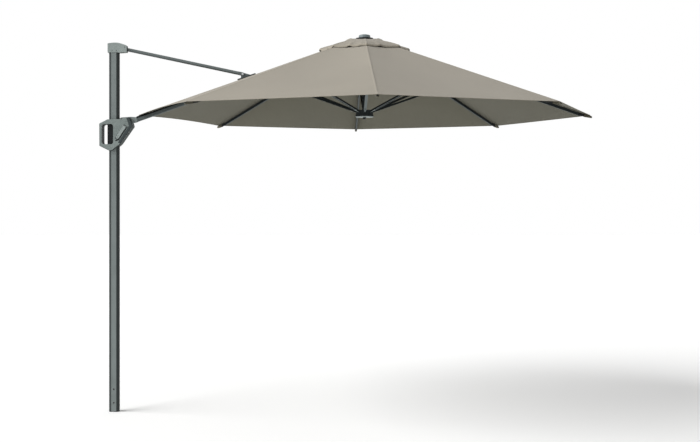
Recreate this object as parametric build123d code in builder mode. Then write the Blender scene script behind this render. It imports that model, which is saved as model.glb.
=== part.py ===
from build123d import *
import os
from math import atan2, cos, degrees, radians, sin

# Cantilever parasol, millimetres, +Z up.
# Origin: centre of the mast's foot on the ground. +X points from the mast to the canopy.
# The canopy is an octagon on seven ribs and a boom, which is the eighth arm.

# ---- driving dimensions -------------------------------------------------------------
# mast: a rounded aluminium profile
MAST_X = 68.0
MAST_Y = 50.0
MAST_CORNER = 18.0
MAST_WALL = 3.0
MAST_TOP = 2400.0
FOOT_FLANGE = 3.0
FOOT_INSERT_TOP = 200.0
CLAMP_BOLT_R = 5.5
CLAMP_BOLT_Z = (60.0, 150.0)

# canopy: ridge line of each arm, measured from the hub axis
HUB_X = 1659.0
RIM_R = 1500.0
RIM_Z = 1963.0
SLOPE = 0.35
CLOTH = 2.5
SECTOR_GAP = 0.3
VENT_R = 300.0
VENT_RIM_Z = 2410.0
VENT_TOP_R = 64.0
VENT_TOP_Z = 2477.0
CANOPY_INNER_R = 110.0

# arms: the hinge line of every arm lies PIVOT_DROP below the ridge
PIVOT_DROP = 25.0
RIB_DROP = 20.0
HINGE_R = 50.0
STRUT_R = 708.0
RIB_W = 12.0
RIB_H = 20.0
RIB_WALL = 1.2
RIB_START_R = 68.0
RIB_END_R = 1420.0
RIB_TIP_R = 1507.0
RIB_TIP_H = 9.0
RIB_TIP_DROP = 10.0
BOOM_W = 28.0
BOOM_H = 32.0
BOOM_WALL = 2.0
BOOM_CORNER = 9.0
BOOM_START_X = 151.0
BOOM_END_R = 72.0
PIN_R = 2.5
RUN_FIT = 0.05

# fold pivots in the X-Z plane
STAY_HEAD_PIVOT = (66.0, 2414.0)
STAY_BOOM_PIVOT = (851.0, 2236.0)
SLIDER_PIVOT = (52.0, 1932.0)
STAY_R = 11.5
STAY_WALL = 1.8
STAY_AXIS_OFFSET = 11.5

# slider
SLIDER_HALF = 52.0
BOOM_SLOT_HALF = 16.0
CHANNEL_HALF_Y = 28.0
CHANNEL_LEFT = -58.0
CHANNEL_RIGHT = 42.0
BOOM_PIN_R = 6.0
LEVER_TOP = (78.0, 1890.0)
LEVER_FOOT = (23.0, 1806.0)
LEVER_W = 20.0

# ---- derived values ------------------------------------------------------------------
SLOPE_ANGLE = degrees(atan2(SLOPE, 1.0))
BOOM_AZIMUTH = 180.0
RIB_AZIMUTHS = [225.0, 270.0, 315.0, 0.0, 45.0, 90.0, 135.0]


def ridge_z(radius):
    """Height of the cloth's ridge at a distance from the hub axis."""
    return RIM_Z + SLOPE * (RIM_R - radius)


UPPER_HINGE_Z = ridge_z(HINGE_R) - PIVOT_DROP
STRUT_PIVOT_Z = ridge_z(STRUT_R) - PIVOT_DROP
LOWER_HINGE_Z = 2.0 * STRUT_PIVOT_Z - UPPER_HINGE_Z

os.makedirs("parts", exist_ok=True)


def save(part, name):
    """Label a finished piece and write it as its own STEP file."""
    part.label = name
    export_step(part, f"parts/{name}.step")


def arm_plane(azimuth):
    """Vertical plane through the hub axis: local x is the radius, local y is the height."""
    a = radians(azimuth)
    return Plane(origin=(HUB_X, 0, 0), x_dir=(cos(a), sin(a), 0), z_dir=(sin(a), -cos(a), 0))


def along_arm(azimuth, radius, height):
    """Plane across an arm at a point, its normal pointing outward down the slope."""
    a = radians(azimuth)
    t = radians(SLOPE_ANGLE)
    origin = (HUB_X + radius * cos(a), radius * sin(a), height)
    outward = (cos(a) * cos(t), sin(a) * cos(t), -sin(t))
    return Plane(origin=origin, x_dir=(-sin(a), cos(a), 0), z_dir=outward)


def line_plane(start, end):
    """Plane at an X-Z point whose normal points to another X-Z point; local x is +Y."""
    direction = (end[0] - start[0], 0, end[1] - start[1])
    return Plane(origin=(start[0], 0, start[1]), x_dir=(0, 1, 0), z_dir=direction)


# ======================================================================================
# Mast
# ======================================================================================
with BuildPart() as mast_tube:
    with BuildSketch(Plane.XY.offset(FOOT_FLANGE)):
        RectangleRounded(MAST_X, MAST_Y, MAST_CORNER)
    extrude(amount=MAST_TOP - FOOT_FLANGE)
    with BuildSketch(Plane.XY.offset(FOOT_FLANGE)):
        RectangleRounded(MAST_X - 2 * MAST_WALL, MAST_Y - 2 * MAST_WALL, MAST_CORNER - MAST_WALL)
    extrude(amount=MAST_TOP - FOOT_FLANGE, mode=Mode.SUBTRACT)
    with BuildSketch(Plane.XZ):
        for height in CLAMP_BOLT_Z:
            with Locations((0, height)):
                Circle(CLAMP_BOLT_R)
    extrude(amount=MAST_Y, both=True, mode=Mode.SUBTRACT)
save(mast_tube.part, "mast_tube")

with BuildPart() as mast_foot_insert:
    with BuildSketch(Plane.XY):
        RectangleRounded(MAST_X, MAST_Y, MAST_CORNER)
    extrude(amount=FOOT_FLANGE)
    with BuildSketch(Plane.XY.offset(FOOT_FLANGE)):
        RectangleRounded(MAST_X - 2 * MAST_WALL, MAST_Y - 2 * MAST_WALL, MAST_CORNER - MAST_WALL)
    extrude(amount=FOOT_INSERT_TOP - FOOT_FLANGE)
    with BuildSketch(Plane.XZ):
        for height in CLAMP_BOLT_Z:
            with Locations((0, height)):
                Circle(CLAMP_BOLT_R)
    extrude(amount=MAST_Y, both=True, mode=Mode.SUBTRACT)
save(mast_foot_insert.part, "mast_foot_insert")

# ---- mast head: a cap over the tube with two cheeks that carry the stay ---------------
HEAD_HALF = 28.0
HEAD_BOTTOM = 2377.0
HEAD_SLOT_HALF = 12.0
HEAD_SLOT_TOP = 2427.0
HEAD_BACK = -41.0
HEAD_NOSE = 85.0
HEAD_SCREW_Z = 2389.0
HEAD_PIN_R = 4.0

with BuildPart() as mast_head:
    with BuildSketch(Plane.XZ):
        with BuildLine():
            Polyline(
                (HEAD_BACK, HEAD_BOTTOM),
                (40, HEAD_BOTTOM),
                (HEAD_NOSE, 2380),
                (HEAD_NOSE, 2423),
            )
            Spline(
                (HEAD_NOSE, 2423),
                (24, 2441),
                (HEAD_BACK, 2437),
                tangents=[(-1, 0.38), (-1, -0.14)],
            )
            Line((HEAD_BACK, 2437), (HEAD_BACK, HEAD_BOTTOM))
        make_face()
    extrude(amount=HEAD_HALF, both=True)
    fillet(mast_head.edges().filter_by(Axis.Y).group_by(Axis.X)[-1], 4)
    fillet(mast_head.edges().filter_by(Axis.Y).group_by(Axis.X)[0].sort_by(Axis.Z)[-1], 5)
    with BuildSketch(Plane.XY.offset(HEAD_BOTTOM)):
        RectangleRounded(MAST_X, MAST_Y, MAST_CORNER)
    extrude(amount=MAST_TOP - HEAD_BOTTOM, mode=Mode.SUBTRACT)
    with BuildSketch(Plane.XZ):
        with Locations((HEAD_NOSE, (HEAD_BOTTOM + HEAD_SLOT_TOP) / 2 - 10)):
            Rectangle(2 * (HEAD_NOSE - 40.5), HEAD_SLOT_TOP - HEAD_BOTTOM + 20)
    extrude(amount=HEAD_SLOT_HALF, both=True, mode=Mode.SUBTRACT)
    with BuildSketch(Plane.XZ):
        with Locations(STAY_HEAD_PIVOT):
            Circle(HEAD_PIN_R)
    extrude(amount=HEAD_HALF, both=True, mode=Mode.SUBTRACT)
save(mast_head.part, "mast_head")

with BuildPart() as mast_head_screws:
    for side in (-1, 1):
        for x in (-14, 14):
            face = Plane(origin=(x, side * HEAD_HALF, HEAD_SCREW_Z), z_dir=(0, side, 0))
            with BuildSketch(face):
                Circle(4.5)
            extrude(amount=2.2)
    fillet(mast_head_screws.edges().filter_by(GeomType.CIRCLE).group_by(Axis.Y)[0], 1.2)
    fillet(mast_head_screws.edges().filter_by(GeomType.CIRCLE).group_by(Axis.Y)[-1], 1.2)
save(mast_head_screws.part, "mast_head_screws")

with BuildPart() as stay_pivot_bolt:
    with BuildSketch(Plane.XZ):
        with Locations(STAY_HEAD_PIVOT):
            Circle(HEAD_PIN_R)
    extrude(amount=HEAD_HALF, both=True)
    for side in (-1, 1):
        cap = Plane(
            origin=(STAY_HEAD_PIVOT[0], side * HEAD_HALF, STAY_HEAD_PIVOT[1]), z_dir=(0, side, 0)
        )
        with BuildSketch(cap):
            RegularPolygon(6.5, 6)
        extrude(amount=3)
save(stay_pivot_bolt.part, "stay_pivot_bolt")

# ======================================================================================
# Stay: the upper strut from the mast head to the bracket on the canopy
# ======================================================================================
STAY_END_PLANE = line_plane(STAY_HEAD_PIVOT, STAY_BOOM_PIVOT)
STAY_TUBE_HEAD = (STAY_HEAD_PIVOT[0], STAY_HEAD_PIVOT[1] - STAY_AXIS_OFFSET)
STAY_LINE = line_plane(STAY_TUBE_HEAD, STAY_BOOM_PIVOT)
STAY_LENGTH = (Vector(*STAY_BOOM_PIVOT) - Vector(*STAY_TUBE_HEAD)).length
STAY_START = 27.0
STAY_STOP = 30.0
FORK_HALF = 11.0
FORK_GAP_HALF = 6.2
STAY_SIDE = Plane(
    origin=STAY_LINE.origin, x_dir=STAY_LINE.z_dir, z_dir=(0, -1, 0)
)  # local x runs down the stay, local y is across it

with BuildPart() as stay_tube:
    with BuildSketch(STAY_LINE.offset(STAY_START)):
        Circle(STAY_R)
        Circle(STAY_R - STAY_WALL, mode=Mode.SUBTRACT)
    extrude(amount=STAY_LENGTH - STAY_START - STAY_STOP)
save(stay_tube.part, "stay_tube")

with BuildPart() as stay_upper_eye:
    with BuildSketch(STAY_LINE.offset(STAY_START)):
        Circle(STAY_R - STAY_WALL)
    extrude(amount=40)
    with BuildSketch(STAY_LINE.offset(STAY_START)):
        Circle(10.5)
    extrude(amount=-12)
    with BuildSketch(Plane.XZ):
        with Locations(STAY_HEAD_PIVOT):
            Circle(8.5)
    extrude(amount=9, both=True)
    with BuildSketch(STAY_SIDE):
        Polygon((-2, 5), (4, 20), (STAY_START - 8, 10), (STAY_START - 8, -8), (0, 2), align=None)
    extrude(amount=9, both=True)
    with BuildSketch(Plane.XZ):
        with Locations(STAY_HEAD_PIVOT):
            Circle(HEAD_PIN_R + RUN_FIT)
    extrude(amount=12, both=True, mode=Mode.SUBTRACT)
save(stay_upper_eye.part, "stay_upper_eye")

with BuildPart() as stay_lower_fork:
    with BuildSketch(STAY_LINE.offset(STAY_LENGTH - STAY_STOP)):
        Circle(STAY_R - STAY_WALL)
    extrude(amount=-40)
    with BuildSketch(STAY_SIDE):
        with Locations((STAY_LENGTH, 0)):
            Circle(11)
        with Locations((STAY_LENGTH - STAY_STOP / 2, 0)):
            Rectangle(STAY_STOP, 22)
    extrude(amount=FORK_HALF, both=True)
    with BuildSketch(STAY_SIDE):
        with Locations((STAY_LENGTH, 0)):
            Rectangle(34, 60)
    extrude(amount=FORK_GAP_HALF, both=True, mode=Mode.SUBTRACT)
    with BuildSketch(STAY_SIDE):
        with Locations((STAY_LENGTH, 0)):
            Circle(HEAD_PIN_R + RUN_FIT)
    extrude(amount=14, both=True, mode=Mode.SUBTRACT)
save(stay_lower_fork.part, "stay_lower_fork")

# ======================================================================================
# Boom: the eighth arm, which reaches on past the rim to the slider
# ======================================================================================
BOOM_BORE = (BOOM_W - 2 * BOOM_WALL, BOOM_H - 2 * BOOM_WALL)
BOOM_START_R = HUB_X - BOOM_START_X
BOOM_START_Z = ridge_z(BOOM_START_R) - PIVOT_DROP
BOOM_LENGTH = (BOOM_START_R - BOOM_END_R) / cos(radians(SLOPE_ANGLE))
BOOM_LINE = Plane(
    origin=(BOOM_START_X, 0, BOOM_START_Z),
    x_dir=(0, 1, 0),
    z_dir=(1, 0, SLOPE),
)
BOOM_SIDE = Plane(origin=BOOM_LINE.origin, x_dir=(1, 0, SLOPE), z_dir=(0, -1, 0))

with BuildPart() as boom_tube:
    with BuildSketch(BOOM_LINE):
        RectangleRounded(BOOM_W, BOOM_H, BOOM_CORNER)
        RectangleRounded(*BOOM_BORE, BOOM_CORNER - BOOM_WALL, mode=Mode.SUBTRACT)
    extrude(amount=BOOM_LENGTH)
    with BuildSketch(arm_plane(BOOM_AZIMUTH)):
        with Locations((STRUT_R, STRUT_PIVOT_Z)):
            Circle(PIN_R)
    extrude(amount=BOOM_W, both=True, mode=Mode.SUBTRACT)
save(boom_tube.part, "boom_tube")

with BuildPart() as boom_root:
    with BuildSketch(Plane.XZ):
        with Locations(SLIDER_PIVOT):
            Circle(16.5)
        Polygon(
            (52, 1948), (109, 1952), (BOOM_START_X - 5.5, 1950.5), (BOOM_START_X + 5.5, 1918.5),
            (109, 1906), (52, 1916),
            align=None,
        )
    extrude(amount=12, both=True)
    with BuildSketch(BOOM_LINE):
        RectangleRounded(*BOOM_BORE, BOOM_CORNER - BOOM_WALL)
    extrude(amount=45)
    with BuildSketch(Plane.XZ):
        with Locations(SLIDER_PIVOT):
            Circle(BOOM_PIN_R + RUN_FIT)
    extrude(amount=14, both=True, mode=Mode.SUBTRACT)
save(boom_root.part, "boom_root")

HUB_TONGUE_HALF = 4.0
EYE_R = 8.0

with BuildPart() as boom_hub_eye:
    with BuildSketch(arm_plane(BOOM_AZIMUTH)):
        with Locations((HINGE_R, UPPER_HINGE_Z)):
            Circle(EYE_R)
        Polygon(
            (HINGE_R, UPPER_HINGE_Z + EYE_R), (BOOM_END_R + 6, UPPER_HINGE_Z + 2),
            (BOOM_END_R + 2, UPPER_HINGE_Z - 18), (HINGE_R, UPPER_HINGE_Z - EYE_R),
            align=None,
        )
    extrude(amount=HUB_TONGUE_HALF, both=True)
    with BuildSketch(along_arm(BOOM_AZIMUTH, BOOM_END_R, ridge_z(BOOM_END_R) - PIVOT_DROP)):
        RectangleRounded(*BOOM_BORE, BOOM_CORNER - BOOM_WALL)
    extrude(amount=50)
    with BuildSketch(arm_plane(BOOM_AZIMUTH)):
        with Locations((HINGE_R, UPPER_HINGE_Z)):
            Circle(PIN_R + RUN_FIT)
    extrude(amount=14, both=True, mode=Mode.SUBTRACT)
save(boom_hub_eye.part, "boom_hub_eye")

# ---- bracket that clamps through the cloth to the boom and carries the stay -----------
BRACKET_START_X = 818.0
BRACKET_END_X = 938.0
BRACKET_HALF = 19.0
BRACKET_LUG_HALF = 6.0
BRACKET_LIFT = 0.8
BRACKET_PLATE = 7.0
STEM_START_X = 838.0
STEM_END_X = 918.0
STEM_HALF = 8.0


def ridge_at_x(x):
    """Height of the boom ridge at an X position."""
    return ridge_z(HUB_X - x)


BOOM_TOP_DROP = PIVOT_DROP - BOOM_H / 2 / cos(radians(SLOPE_ANGLE))

with BuildPart() as stay_bracket:
    with BuildSketch(Plane.XZ):
        Polygon(
            (BRACKET_START_X, ridge_at_x(BRACKET_START_X) + BRACKET_LIFT),
            (BRACKET_END_X, ridge_at_x(BRACKET_END_X) + BRACKET_LIFT),
            (BRACKET_END_X - 3, ridge_at_x(BRACKET_END_X) + BRACKET_LIFT + BRACKET_PLATE - 2),
            (BRACKET_START_X - 2, ridge_at_x(BRACKET_START_X) + BRACKET_LIFT + BRACKET_PLATE),
            align=None,
        )
    extrude(amount=BRACKET_HALF, both=True)
    with BuildSketch(Plane.XZ):
        Polygon(
            (STEM_START_X, ridge_at_x(STEM_START_X) - BOOM_TOP_DROP),
            (STEM_END_X, ridge_at_x(STEM_END_X) - BOOM_TOP_DROP),
            (STEM_END_X, ridge_at_x(STEM_END_X) + BRACKET_LIFT + 1),
            (STEM_START_X, ridge_at_x(STEM_START_X) + BRACKET_LIFT + 1),
            align=None,
        )
    extrude(amount=STEM_HALF, both=True)
    with BuildSketch(Plane.XZ):
        with Locations(STAY_BOOM_PIVOT):
            Circle(10)
        Polygon(
            (841, 2236), (838, 2203), (912, 2229), (862, 2243), (851, 2246),
            align=None,
        )
    extrude(amount=BRACKET_LUG_HALF, both=True)
    with BuildSketch(Plane.XZ):
        with Locations(STAY_BOOM_PIVOT):
            Circle(HEAD_PIN_R)
    extrude(amount=BRACKET_HALF, both=True, mode=Mode.SUBTRACT)
save(stay_bracket.part, "stay_bracket")

# bolt through the stay's fork, and the pin that holds the boom's own strut
with BuildPart() as boom_pins:
    with BuildSketch(Plane.XZ):
        with Locations(STAY_BOOM_PIVOT):
            Circle(HEAD_PIN_R)
    extrude(amount=FORK_HALF + 0.3, both=True)
    for side in (-1, 1):
        cap = Plane(
            origin=(STAY_BOOM_PIVOT[0], side * (FORK_HALF + 0.3), STAY_BOOM_PIVOT[1]),
            z_dir=(0, side, 0),
        )
        with BuildSketch(cap):
            RegularPolygon(7.5, 6)
        extrude(amount=4)
    with BuildSketch(arm_plane(BOOM_AZIMUTH)):
        with Locations((STRUT_R, STRUT_PIVOT_Z)):
            Circle(PIN_R)
    extrude(amount=BOOM_W / 2 + 3.5, both=True)
save(boom_pins.part, "boom_pins")

with BuildPart() as canopy_corner_plate:
    with BuildSketch(Plane.XZ):
        Polygon(
            (147, ridge_at_x(147) - BOOM_TOP_DROP + 0.2),
            (225, ridge_at_x(225) - BOOM_TOP_DROP + 0.2),
            (225, ridge_at_x(225) - CLOTH - 2.0),
            (147, ridge_at_x(147) - CLOTH - 2.0),
            align=None,
        )
    extrude(amount=9, both=True)
save(canopy_corner_plate.part, "canopy_corner_plate")

# ======================================================================================
# Slider: two shells with a hand grip, which runs on the mast and carries the boom
# ======================================================================================
SLIDER_OUTLINE = [
    (-92, 1905), (-38, 1933), (48, 1934), (84, 1945), (108, 1947), (124, 1903), (127, 1888),
    (46, 1771), (-6, 1729), (-24, 1725), (-91, 1758),
]
GRIP_LEFT = -76.0
GRIP_RIGHT = 0.0
GRIP_BOTTOM = 1769.0
GRIP_TOP = 1902.0
GRIP_CORNER = 15.0
LEVER_VECTOR = Vector(LEVER_TOP[0] - LEVER_FOOT[0], 0, LEVER_TOP[1] - LEVER_FOOT[1])
LEVER_MID = ((LEVER_TOP[0] + LEVER_FOOT[0]) / 2, (LEVER_TOP[1] + LEVER_FOOT[1]) / 2)
LEVER_LENGTH = LEVER_VECTOR.length
LEVER_FRONT = SLIDER_HALF + 2.0
LEVER_BACK = SLIDER_HALF - 6.0
LEVER_PIN_DEPTH = SLIDER_HALF - 2.0
LEVER_PIN_R = 2.0
LEVER_FACE = Plane(
    origin=(LEVER_MID[0], -SLIDER_HALF, LEVER_MID[1]), x_dir=LEVER_VECTOR, z_dir=(0, -1, 0)
)
SHOE_LEFT = 2.0
SHOE_RIGHT = 22.0
SHOE_BOTTOM = 1820.0
SHOE_TOP = 1860.0
SHOE_FACE = MAST_Y / 2 + 0.3
SHOE_THICK = 9.5
SHOE_TRAVEL = 2.5


def slider_shell(side):
    """One half of the slider; side -1 is the front, where the lever is, and +1 the rear."""
    first = BOOM_SLOT_HALF if side < 0 else -SLIDER_HALF
    with BuildPart() as shell:
        with BuildSketch(Plane.XZ.offset(first)):
            Polygon(*SLIDER_OUTLINE, align=None)
        extrude(amount=SLIDER_HALF - BOOM_SLOT_HALF)
        corners = shell.edges().filter_by(Axis.Y)
        fillet(corners, 5)
        outer = shell.faces().filter_by(Axis.Y).sort_by(Axis.Y)[0 if side < 0 else -1]
        fillet(outer.edges(), 4)
        with BuildSketch(Plane.XZ.offset(first)):
            with Locations(((GRIP_LEFT + GRIP_RIGHT) / 2, (GRIP_BOTTOM + GRIP_TOP) / 2)):
                RectangleRounded(GRIP_RIGHT - GRIP_LEFT, GRIP_TOP - GRIP_BOTTOM, GRIP_CORNER)
        extrude(amount=SLIDER_HALF - BOOM_SLOT_HALF, mode=Mode.SUBTRACT)
        with BuildSketch(Plane.XY.offset(1700)):
            with Locations(((CHANNEL_LEFT + CHANNEL_RIGHT) / 2, 0)):
                Rectangle(CHANNEL_RIGHT - CHANNEL_LEFT, 2 * CHANNEL_HALF_Y)
        extrude(amount=300, mode=Mode.SUBTRACT)
        with BuildSketch(Plane.XZ.offset(first)):
            with Locations(SLIDER_PIVOT):
                Circle(BOOM_PIN_R)
        extrude(amount=SLIDER_HALF - BOOM_SLOT_HALF, mode=Mode.SUBTRACT)
        if side < 0:
            with BuildSketch(LEVER_FACE):
                RectangleRounded(LEVER_LENGTH + 9, LEVER_W + 3, 5)
            extrude(amount=-8.5, mode=Mode.SUBTRACT)
            with BuildSketch(LEVER_FACE):
                with Locations((LEVER_LENGTH / 2 - 5, 0)):
                    Rectangle(2 * LEVER_PIN_R, LEVER_W + 13)
            extrude(amount=-4, mode=Mode.SUBTRACT)
            with BuildSketch(Plane.XZ.offset(CHANNEL_HALF_Y)):
                with Locations(((SHOE_LEFT + SHOE_RIGHT) / 2, (SHOE_BOTTOM + SHOE_TOP) / 2)):
                    Rectangle(SHOE_RIGHT - SHOE_LEFT + 1, SHOE_TOP - SHOE_BOTTOM + 1)
            extrude(amount=SHOE_FACE + SHOE_THICK + SHOE_TRAVEL + 1 - CHANNEL_HALF_Y, mode=Mode.SUBTRACT)
    return shell.part


save(slider_shell(-1), "slider_front_shell")
save(slider_shell(1), "slider_rear_shell")

# ---- grip core: a C between the shells, closing the hand loop --------------------------
with BuildPart() as slider_grip:
    with BuildSketch(Plane.XZ):
        Polygon(
            (-91, 1904), (CHANNEL_LEFT, 1921.5), (CHANNEL_LEFT, 1906), (-77, 1899),
            (-77, 1771), (CHANNEL_LEFT, 1766), (CHANNEL_LEFT, 1743), (-90, 1759),
            align=None,
        )
    extrude(amount=BOOM_SLOT_HALF, both=True)
save(slider_grip.part, "slider_grip")

with BuildPart() as slider_pads:
    for bottom in (1778.0, 1880.0):
        with BuildSketch(Plane.XY.offset(bottom)):
            with Locations(((MAST_X / 2 + 0.3 + CHANNEL_RIGHT) / 2, 0)):
                Rectangle(CHANNEL_RIGHT - MAST_X / 2 - 0.3, 2 * BOOM_SLOT_HALF)
        extrude(amount=24)
    for bottom in (1742.0, 1905.0):
        for side in (-1, 1):
            with BuildSketch(Plane.XY.offset(bottom)):
                with Locations((0, side * (MAST_Y / 2 + 0.3 + CHANNEL_HALF_Y) / 2)):
                    Rectangle(24, CHANNEL_HALF_Y - MAST_Y / 2 - 0.3)
            extrude(amount=20)
save(slider_pads.part, "slider_pads")

with BuildPart() as boom_pivot_pin:
    with BuildSketch(Plane.XZ):
        with Locations(SLIDER_PIVOT):
            Circle(BOOM_PIN_R)
    extrude(amount=SLIDER_HALF, both=True)
    chamfer(boom_pivot_pin.edges().filter_by(GeomType.CIRCLE), 1)
save(boom_pivot_pin.part, "boom_pivot_pin")

SCREW_SPOTS = [(-12, 1745), (-62, 1914), (100, 1925), (60, 1800)]
with BuildPart() as slider_fasteners:
    for spot in SCREW_SPOTS:
        with BuildSketch(Plane(origin=(spot[0], SLIDER_HALF, spot[1]), z_dir=(0, 1, 0))):
            Circle(4)
        extrude(amount=1.6)
    with BuildSketch(
        Plane(origin=LEVER_FACE.from_local_coords((LEVER_LENGTH / 2 - 5, 0, -2)), z_dir=LEVER_FACE.y_dir)
    ):
        Circle(LEVER_PIN_R)
    extrude(amount=(LEVER_W + 12) / 2, both=True)
save(slider_fasteners.part, "slider_fasteners")

with BuildPart() as release_lever:
    with BuildSketch(LEVER_FACE.offset(-6)):
        SlotOverall(LEVER_LENGTH, LEVER_W)
    extrude(amount=8)
    fillet(release_lever.faces().sort_by(Axis.Y)[0].edges(), 2)
    with BuildSketch(LEVER_FACE.offset(2)):
        with Locations((-LEVER_LENGTH / 2 + 16, 0)):
            SlotOverall(22, 12)
    extrude(amount=-2, mode=Mode.SUBTRACT)
    with BuildSketch(
        Plane(origin=LEVER_FACE.from_local_coords((LEVER_LENGTH / 2 - 5, 0, -2)), z_dir=LEVER_FACE.y_dir)
    ):
        Circle(LEVER_PIN_R + RUN_FIT)
    extrude(amount=LEVER_W, both=True, mode=Mode.SUBTRACT)
save(release_lever.part, "release_lever")

with BuildPart() as brake_shoe:
    with BuildSketch(Plane.XZ.offset(SHOE_FACE)):
        with Locations(((SHOE_LEFT + SHOE_RIGHT) / 2, (SHOE_BOTTOM + SHOE_TOP) / 2)):
            RectangleRounded(SHOE_RIGHT - SHOE_LEFT, SHOE_TOP - SHOE_BOTTOM, 3)
    extrude(amount=SHOE_THICK)
save(brake_shoe.part, "brake_shoe")

# ======================================================================================
# Upper hub, centre tube and finial
# ======================================================================================
HUB_R = 58.0
HUB_BOTTOM = UPPER_HINGE_Z - 13.5
HUB_TOP = UPPER_HINGE_Z + 12.5
HUB_SLOT_INNER = 38.0
HUB_SLOT_HALF = 4.5
CENTRE_R = 13.5
CENTRE_WALL = 1.8
CENTRE_BOTTOM = LOWER_HINGE_Z - 12.0
ARM_AZIMUTHS = [BOOM_AZIMUTH] + RIB_AZIMUTHS

with BuildPart() as upper_hub:
    with BuildSketch(Plane((HUB_X, 0, HUB_BOTTOM))):
        Circle(HUB_R)
    extrude(amount=HUB_TOP - HUB_BOTTOM)
    with BuildSketch(Plane((HUB_X, 0, HUB_BOTTOM))):
        with PolarLocations(0, 8):
            with Locations((HUB_SLOT_INNER + 20, 0)):
                Rectangle(40, 2 * HUB_SLOT_HALF)
    extrude(amount=HUB_TOP - HUB_BOTTOM, mode=Mode.SUBTRACT)
    with BuildSketch(Plane((HUB_X, 0, HUB_BOTTOM))):
        Circle(CENTRE_R)
    extrude(amount=18, mode=Mode.SUBTRACT)
    for azimuth in ARM_AZIMUTHS:
        with BuildSketch(arm_plane(azimuth)):
            with Locations((HINGE_R, UPPER_HINGE_Z)):
                Circle(PIN_R)
        extrude(amount=11, both=True, mode=Mode.SUBTRACT)
save(upper_hub.part, "upper_hub")

with BuildPart() as hub_hinge_pins:
    for azimuth in ARM_AZIMUTHS:
        with BuildSketch(arm_plane(azimuth)):
            with Locations((HINGE_R, UPPER_HINGE_Z)):
                Circle(PIN_R)
        extrude(amount=11, both=True)
save(hub_hinge_pins.part, "hub_hinge_pins")

with BuildPart() as centre_tube:
    with BuildSketch(Plane((HUB_X, 0, CENTRE_BOTTOM))):
        Circle(CENTRE_R)
        Circle(CENTRE_R - CENTRE_WALL, mode=Mode.SUBTRACT)
    extrude(amount=HUB_BOTTOM + 18 - CENTRE_BOTTOM)
save(centre_tube.part, "centre_tube")

FINIAL_DISC_BOTTOM = 2463.0
FINIAL_DISC_TOP = 2474.0
with BuildPart() as finial_disc:
    with BuildSketch(Plane((HUB_X, 0, HUB_TOP))):
        Circle(30)
    extrude(amount=FINIAL_DISC_BOTTOM - HUB_TOP)
    with BuildSketch(Plane((HUB_X, 0, FINIAL_DISC_BOTTOM))):
        Circle(59)
    extrude(amount=FINIAL_DISC_TOP - FINIAL_DISC_BOTTOM)
    fillet(finial_disc.edges().filter_by(GeomType.CIRCLE).group_by(Axis.Z)[-1], 3)
save(finial_disc.part, "finial_disc")

with BuildPart() as finial:
    with BuildSketch(Plane((HUB_X, 0, 0), x_dir=(1, 0, 0), z_dir=(0, -1, 0))):
        with BuildLine():
            Polyline((0, FINIAL_DISC_TOP), (35, FINIAL_DISC_TOP), (38.5, 2477), (38.5, 2487))
            Spline((38.5, 2487), (28, 2496), (0, 2500), tangents=[(0, 1), (-1, 0)])
            Line((0, 2500), (0, FINIAL_DISC_TOP))
        make_face()
    revolve(axis=Axis((HUB_X, 0, 0), (0, 0, 1)))
save(finial.part, "finial")

# ======================================================================================
# Runner: the lower hub, held by the eight struts
# ======================================================================================
RUNNER_BOTTOM = 1950.0
RUNNER_RIM_TOP = 1965.0
RUNNER_TOP = LOWER_HINGE_Z + 11.0
RUNNER_R = 60.0
RUNNER_BODY_R = 57.0
RUNNER_SLOT_INNER = 36.0
RUNNER_SLOT_HALF = 6.4
KNOB_R = 10.0
KNOB_BOTTOM = 1936.0

with BuildPart() as runner:
    with BuildSketch(Plane((HUB_X, 0, RUNNER_BOTTOM))):
        Circle(RUNNER_R)
    extrude(amount=RUNNER_RIM_TOP - RUNNER_BOTTOM)
    fillet(runner.edges().group_by(Axis.Z)[0], 5)
    with BuildSketch(Plane((HUB_X, 0, RUNNER_RIM_TOP))):
        Circle(RUNNER_BODY_R)
    extrude(amount=RUNNER_TOP - RUNNER_RIM_TOP)
    with BuildSketch(Plane((HUB_X, 0, LOWER_HINGE_Z - 9.0))):
        with PolarLocations(0, 8):
            with Locations((RUNNER_SLOT_INNER + 20, 0)):
                Rectangle(40, 2 * RUNNER_SLOT_HALF)
    extrude(amount=40, mode=Mode.SUBTRACT)
    with BuildSketch(Plane((HUB_X, 0, CENTRE_BOTTOM - 2))):
        Circle(CENTRE_R + 0.3)
    extrude(amount=60, mode=Mode.SUBTRACT)
    for azimuth in ARM_AZIMUTHS:
        with BuildSketch(arm_plane(azimuth)):
            with Locations((HINGE_R, LOWER_HINGE_Z)):
                Circle(PIN_R)
        extrude(amount=10.5, both=True, mode=Mode.SUBTRACT)
save(runner.part, "runner")

with BuildPart() as runner_hinge_pins:
    for azimuth in ARM_AZIMUTHS:
        with BuildSketch(arm_plane(azimuth)):
            with Locations((HINGE_R, LOWER_HINGE_Z)):
                Circle(PIN_R)
        extrude(amount=10.5, both=True)
save(runner_hinge_pins.part, "runner_hinge_pins")

with BuildPart() as runner_knob:
    with BuildSketch(Plane((HUB_X, 0, RUNNER_BOTTOM))):
        Circle(KNOB_R)
    extrude(amount=KNOB_BOTTOM - RUNNER_BOTTOM)
    fillet(runner_knob.edges().group_by(Axis.Z)[0], 4)
save(runner_knob.part, "runner_knob")

# ======================================================================================
# Ribs with their end fittings
# ======================================================================================
RIB_LENGTH = (RIB_END_R - RIB_START_R) / cos(radians(SLOPE_ANGLE))


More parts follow.
